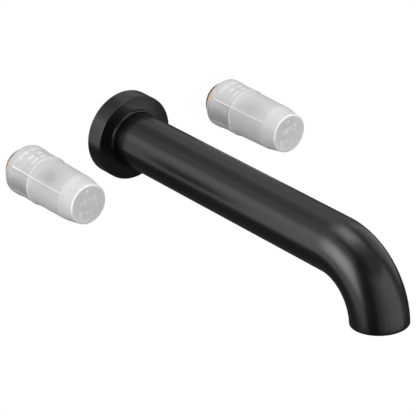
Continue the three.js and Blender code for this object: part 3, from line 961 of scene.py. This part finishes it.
def guard(side, place):
    """The translucent cap, with its relief, rounded nose edge, hollow inside and splined socket."""
    edge, end_wall = 0.9, 2.0
    socket, socket_rear, hole, hole_tip, teeth = 6.4, 48.0, 4.2, 4.7, 12
    inside_front = CAP_FRONT - end_wall
    outside = [(radius_at(out), out) for out in guard_outs()]
    before_corner = (NOSE_RADIUS + 0.1, CAP_FRONT - 2)
    corner = corner_arc(before_corner, (NOSE_RADIUS - 0.08, CAP_FRONT), (0, CAP_FRONT), edge, 7)
    face_step, face_steps, face_radius = 0.28, 39, 11
    face = [(face_step * i, CAP_FRONT) for i in range(1, face_steps + 1)]
    inner = [
        (0, inside_front - 0.2), (hole, inside_front - 0.2), (hole_tip, inside_front - 0.7),
        (hole_tip, socket_rear + 0.6), (5.2, socket_rear), (socket, socket_rear + 0.3),
        (socket, inside_front - 0.4), (socket + 0.4, inside_front), (10.6, inside_front),
        (11.4, inside_front - 0.6), (12.4, 58), (12.68, 55), (13.05, 31.5), (13.6, 27.6),
        (13.65, GUARD_REAR + 0.7), (14.0, GUARD_REAR),
    ]
    profile = [(0, CAP_FRONT), *face, *reversed(corner), *reversed(outside), *reversed(inner)]

    def moulded(radius, out, angle):
        if out > CAP_FRONT - 0.01 and radius < face_radius:
            return radius, out + face_relief(radius * math.sin(angle), radius * math.cos(angle))
        if radius > radius_at(out) - 0.01 and out < SIDE_FRONT:
            return radius + guard_relief(out, angle), out
        if radius == hole_tip:
            return hole + (hole_tip - hole) * (0.5 + 0.5 * math.cos(teeth * angle)), out
        return radius, out

    cap = revolved(f"{side}_guard_shell", profile, place, guard_angles(), moulded, 60)
    add_cloud_and_painted_light(cap, side)
    replace(cap, f"{side}_guard", "frosted_plastic", f"{side}_cap")
    return cap


spout_tube()
escutcheon()
gasket()
spout_nipple()
spout_hub()
outlet_ring()
aerator_cup()
aerator_cells()
o_ring("escutcheon_grip", on_axis(0), 17.25, 19.1, "sliding_escutcheon", "escutcheon_o_ring")
for ring_node in NIPPLE_RINGS:
    o_ring(f"{ring_node}_seal", on_axis(0), 9.1, 11.3, "wall_set", ring_node)
guards = []
for side_name in SIDES:
    axis = on_axis(VALVE_X[side_name])
    valve_barrel(side_name, axis)
    cartridge_neck(side_name, axis)
    bonnet_nut(side_name, axis)
    stem(side_name, axis)
    retaining_clip(side_name, axis)
    o_ring(f"{side_name}_grip", axis, 11.4, 13.35, "wall_set", f"{side_name}_cap_grip_ring")
    guards.append(guard(side_name, axis))

# Studio: a ring of soft boxes, which the black reflects, and two lamps of the guards' own

STUDIO_CENTRE = Vector((0, -0.12, -0.01))
LIGHT_DISTANCE = 2.4


def direction(azimuth, elevation):
    """Azimuth 0 is straight out of the wall and positive towards +X."""
    a, e = math.radians(azimuth), math.radians(elevation)
    return Vector((math.sin(a) * math.cos(e), -math.cos(a) * math.cos(e), math.sin(e)))


def soft_box(name, azimuth, elevation, width, height, radiance):
    """A rectangular light that spans width by height degrees as seen from the faucet."""
    light = bpy.data.lights.new(name, "AREA")
    light.shape = "RECTANGLE"
    light.size = 2 * LIGHT_DISTANCE * math.tan(math.radians(width) / 2)
    light.size_y = 2 * LIGHT_DISTANCE * math.tan(math.radians(height) / 2)
    light.energy = radiance * math.pi * light.size * light.size_y
    lamp = bpy.data.objects.new(name, light)
    outward = direction(azimuth, elevation)
    lamp.location = STUDIO_CENTRE + outward * LIGHT_DISTANCE
    lamp.rotation_euler = outward.to_track_quat("Z", "Y").to_euler()
    lamp.visible_camera = False
    bpy.context.scene.collection.objects.link(lamp)
    return lamp


def link_lamps(lamps, pieces, state):
    """Links lamps to the pieces: INCLUDE lights nothing else, and EXCLUDE leaves the pieces out."""
    linked = bpy.data.collections.new(f"lit_{state.lower()}")
    for piece in pieces:
        linked.objects.link(piece)
    for entry in linked.collection_objects:
        entry.light_linking.link_state = state
    for lamp in lamps:
        lamp.light_linking.receiver_collection = linked


left_lamps = [
    soft_box("left_key", -105, 17, 42, 41, 4.0),
    soft_box("key_core", -104, 17, 26, 22, 2.0),
    soft_box("key_top", -108, 49, 44, 18, 0.9),
    soft_box("key_low", -108, -14, 46, 22, 1.1),
    soft_box("key_side", -138, 4, 22, 50, 0.9),
    soft_box("back_left", -146, 30, 26, 34, 0.5),
]
link_lamps(left_lamps, guards, "EXCLUDE")
guard_lamps = [soft_box("guard_fill", -86, 5, 82, 82, 1.35), soft_box("guard_top", -90, 60, 50, 36, 0.72)]
link_lamps(guard_lamps, guards, "INCLUDE")
# Only the guards cast shadows in their own lamps' light
for guard_lamp in guard_lamps:
    guard_lamp.light_linking.blocker_collection = guard_lamp.light_linking.receiver_collection
soft_box("back_fill", 180, 34, 84, 52, 0.16)
soft_box("back_high", 180, 50, 46, 22, 0.25)
soft_box("right_back", 138, 18, 32, 26, 0.3)
# The front fill fades towards both sides, so it is made of strips, as (from azimuth, to azimuth, radiance)
FRONT_STRIPS = (
    (-42, -24, 0.5), (-24, -4, 1.0), (-4, 16, 1.4), (16, 36, 1.5), (36, 53, 1.35), (53, 76, 0.25),
)
FRONT_ELEVATION, FRONT_HEIGHT = 11.5, 63
for strip, (left, right, strip_radiance) in enumerate(FRONT_STRIPS):
    middle = (left + right) / 2
    soft_box(f"front_{strip}", middle, FRONT_ELEVATION, right - left, FRONT_HEIGHT, strip_radiance)
soft_box("right_fill", 99, 22, 40, 52, 0.8)
soft_box("top_front", 24, 62, 54, 26, 0.45)
soft_box("top_back", 171, 76, 45, 35, 1.4)
soft_box("top_core", 171, 77, 23, 22, 1.9)
soft_box("top_middle", 0, 88, 40, 26, 0.8)
soft_box("top_right", 115, 68, 32, 20, 0.6)
soft_box("back_right", 140, 44, 34, 24, 0.4)


def studio_world():
    """White to the camera and through the guards, and dim to everything else, as in a light tent."""
    world = bpy.data.worlds.new("studio")
    bpy.context.scene.world = world
    world.use_nodes = True
    tree = world.node_tree
    tree.nodes.clear()
    output = tree.nodes.new("ShaderNodeOutputWorld")
    blend = tree.nodes.new("ShaderNodeMixShader")
    path = tree.nodes.new("ShaderNodeLightPath")
    ambient = tree.nodes.new("ShaderNodeBackground")
    white = tree.nodes.new("ShaderNodeBackground")
    dim = 0.08
    ambient.inputs["Color"].default_value = (dim, dim, dim, 1)
    white.inputs["Color"].default_value = (1, 1, 1, 1)
    seen = tree.nodes.new("ShaderNodeMath")
    seen.operation = "MAXIMUM"
    tree.links.new(path.outputs["Is Camera Ray"], seen.inputs[0])
    tree.links.new(path.outputs["Is Transmission Ray"], seen.inputs[1])
    tree.links.new(seen.outputs["Value"], blend.inputs["Fac"])
    tree.links.new(ambient.outputs["Background"], blend.inputs[1])
    tree.links.new(white.outputs["Background"], blend.inputs[2])
    tree.links.new(blend.outputs["Shader"], output.inputs["Surface"])


def studio_floor():
    """A plain pale floor well below, seen only from above, which neither lights nor shades the faucet."""
    made = bmesh.new()
    reach, depth = 12.0, -0.75
    corners = ((-reach, -reach), (reach, -reach), (reach, reach), (-reach, reach))
    made.faces.new([made.verts.new((x, y, depth)) for x, y in corners])
    mesh = bpy.data.meshes.new("floor")
    made.to_mesh(mesh)
    made.free()
    floor = bpy.data.objects.new("floor", mesh)
    bpy.context.scene.collection.objects.link(floor)
    paint = bpy.data.materials.new("pale_floor")
    paint.use_nodes = True
    tree = paint.node_tree
    tree.nodes.clear()
    output = tree.nodes.new("ShaderNodeOutputMaterial")
    blend = tree.nodes.new("ShaderNodeMixShader")
    side = tree.nodes.new("ShaderNodeNewGeometry")
    pale = tree.nodes.new("ShaderNodeEmission")
    clear = tree.nodes.new("ShaderNodeBsdfTransparent")
    tree.links.new(side.outputs["Backfacing"], blend.inputs["Fac"])
    tree.links.new(pale.outputs["Emission"], blend.inputs[1])
    tree.links.new(clear.outputs["BSDF"], blend.inputs[2])
    tree.links.new(blend.outputs["Shader"], output.inputs["Surface"])
    mesh.materials.append(paint)
    floor.visible_diffuse = False
    floor.visible_glossy = False
    floor.visible_transmission = False
    floor.visible_shadow = False


def photo_camera():
    """The photo's view, as fitted to the outlines of the spout, the escutcheon and the guards."""
    lens, azimuth, elevation, distance = 205.3, -39.467, 26.545, 1.395447
    aim = Vector((-1.376, -83.267, -19.58)) * MM
    data = bpy.data.cameras.new("camera")
    data.lens = lens
    data.clip_end = 50
    camera = bpy.data.objects.new("camera", data)
    back = direction(azimuth, elevation)
    camera.location = aim + back * distance
    camera.rotation_euler = back.to_track_quat("Z", "Y").to_euler()
    bpy.context.scene.collection.objects.link(camera)
    bpy.context.scene.camera = camera


studio_world()
studio_floor()
photo_camera()
bpy.context.scene.view_settings.view_transform = "Standard"
